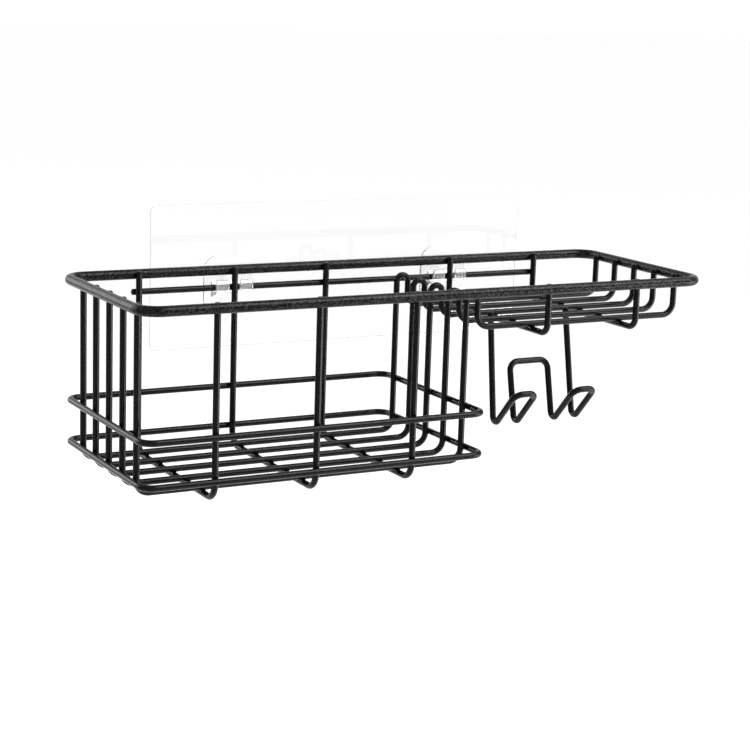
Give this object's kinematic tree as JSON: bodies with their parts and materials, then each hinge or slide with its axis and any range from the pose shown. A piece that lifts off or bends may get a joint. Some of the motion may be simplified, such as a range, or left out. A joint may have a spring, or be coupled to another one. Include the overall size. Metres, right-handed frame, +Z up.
{
  "type": "shower caddy",
  "caption": "Wall-hung wire shower caddy with a deep bottle basket, a shallow soap dish and a razor hook, hanging in clear hooks on a self-adhesive film.",
  "frame": {"origin": "centre of the adhesive face that touches the wall", "axes": "+X to the right along the wall, +Y into the wall, +Z up; the basket stands out towards -Y"},
  "size_m": [0.3208, 0.1158, 0.1285],
  "materials": {
    "rim_coat": "black powder coat with a fine hammered texture and a satin sheen",
    "wire_coat": "satin black powder coat, slightly pebbled",
    "clear_film": "clear glossy film with polished edges",
    "clear_glue": "clear pressure-sensitive adhesive",
    "clear_hook": "clear moulded plastic, glossy"
  },
  "bodies": {
    "wall_mount": {"adhesive_layer": "clear_glue", "adhesive_film": "clear_film", "clear_hook_left": "clear_hook", "clear_hook_right": "clear_hook"},
    "basket": {"basket_cross_wire_1": "wire_coat", "basket_cross_wire_2": "wire_coat", "basket_cross_wire_3": "wire_coat", "bottom_ring": "wire_coat", "dish_cross_wire_1": "wire_coat", "dish_cross_wire_2": "wire_coat", "hanger_bar": "wire_coat", "long_wire_1": "wire_coat", "long_wire_2": "wire_coat", "long_wire_3": "wire_coat", "long_wire_4": "wire_coat", "long_wire_5": "wire_coat", "middle_ring": "wire_coat", "razor_hook": "wire_coat", "top_rim": "rim_coat"}
  },
  "joints": [
    {"name": "basket_lift", "type": "slide", "parent": "wall_mount", "child": "basket", "axis": [0, 0, 1], "range_m": [0, 0.012]}
  ]
}
